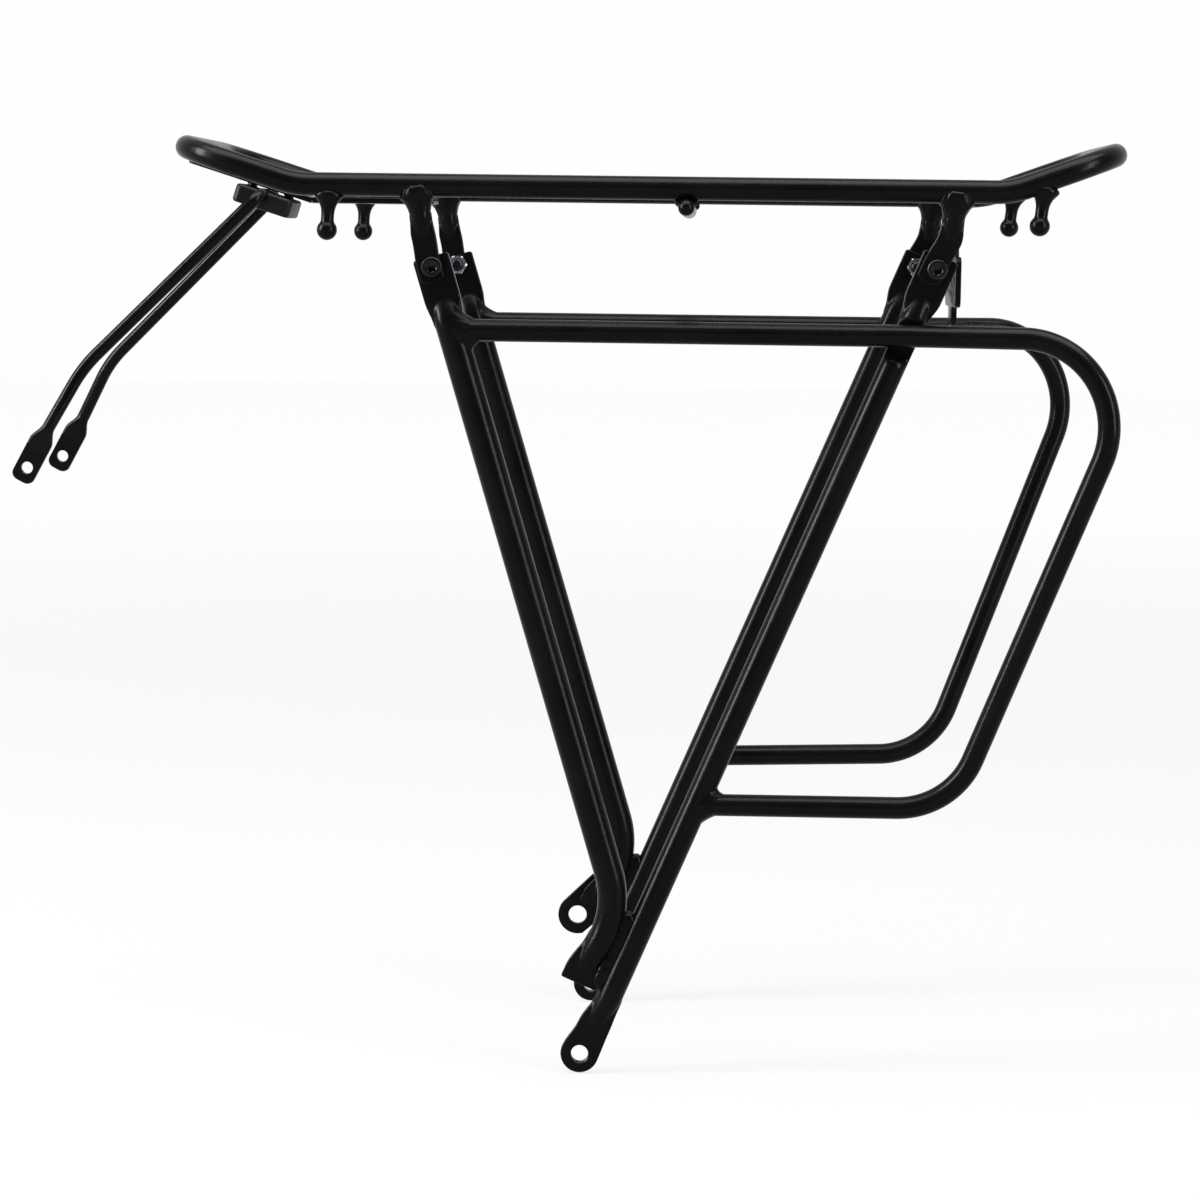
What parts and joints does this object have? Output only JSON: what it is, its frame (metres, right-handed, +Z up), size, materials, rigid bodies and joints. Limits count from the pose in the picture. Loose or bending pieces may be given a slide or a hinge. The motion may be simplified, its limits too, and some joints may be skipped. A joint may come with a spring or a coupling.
{
  "type": "bicycle rear rack",
  "caption": "Tubular rear rack for a bicycle: a looped deck with raised ends on V-shaped side frames, with flared pannier hoops, ball pegs and adjustable front stays.",
  "frame": {"origin": "middle of the line through the two foot eyelets, on the rack's middle plane", "axes": "+X to the rear of the bicycle, +Y to the bicycle's right, +Z up"},
  "size_m": [0.4817, 0.2124, 0.404],
  "materials": {
    "frame_coat": "satin black powder coat on aluminium tube, with soft orange peel",
    "stay_coat": "satin black coated steel rod",
    "clamp_coat": "matte black coated block",
    "black_screw": "black oxide steel",
    "zinc": "bright zinc plated steel"
  },
  "bodies": {
    "rack": {"deck_loop": "frame_coat", "front_rung": "frame_coat", "middle_rung": "frame_coat", "rear_rung": "frame_coat", "left_front_peg": "frame_coat", "left_rear_peg": "frame_coat", "right_front_peg": "frame_coat", "right_rear_peg": "frame_coat", "left_front_stub": "frame_coat", "left_rear_stub": "frame_coat", "right_front_stub": "frame_coat", "right_rear_stub": "frame_coat", "left_front_leg": "frame_coat", "left_rear_leg": "frame_coat", "left_pannier_hoop": "frame_coat", "right_front_leg": "frame_coat", "right_rear_leg": "frame_coat", "right_pannier_hoop": "frame_coat", "lower_tab": "frame_coat", "light_plate": "frame_coat", "stay_tongue": "frame_coat", "leg_screws": "black_screw", "leg_nuts": "zinc"},
    "clamp": {"stay_clamp": "clamp_coat", "clamp_screws": "zinc"},
    "left_stay": {"left_stay": "stay_coat"},
    "right_stay": {"right_stay": "stay_coat"}
  },
  "joints": [
    {"name": "clamp_slide", "type": "slide", "parent": "rack", "child": "clamp", "axis": [-0.9537, 0, 0.3007], "range_m": [-0.005, 0.012]},
    {"name": "left_stay_swing", "type": "hinge", "parent": "clamp", "child": "left_stay", "pos_m": [-0.1465, 0, 0.36998], "axis": [0, 1, 0], "range_deg": [-30, 45]},
    {"name": "right_stay_swing", "type": "hinge", "parent": "clamp", "child": "right_stay", "pos_m": [-0.1465, 0, 0.36998], "axis": [0, 1, 0], "range_deg": [-30, 45]}
  ]
}
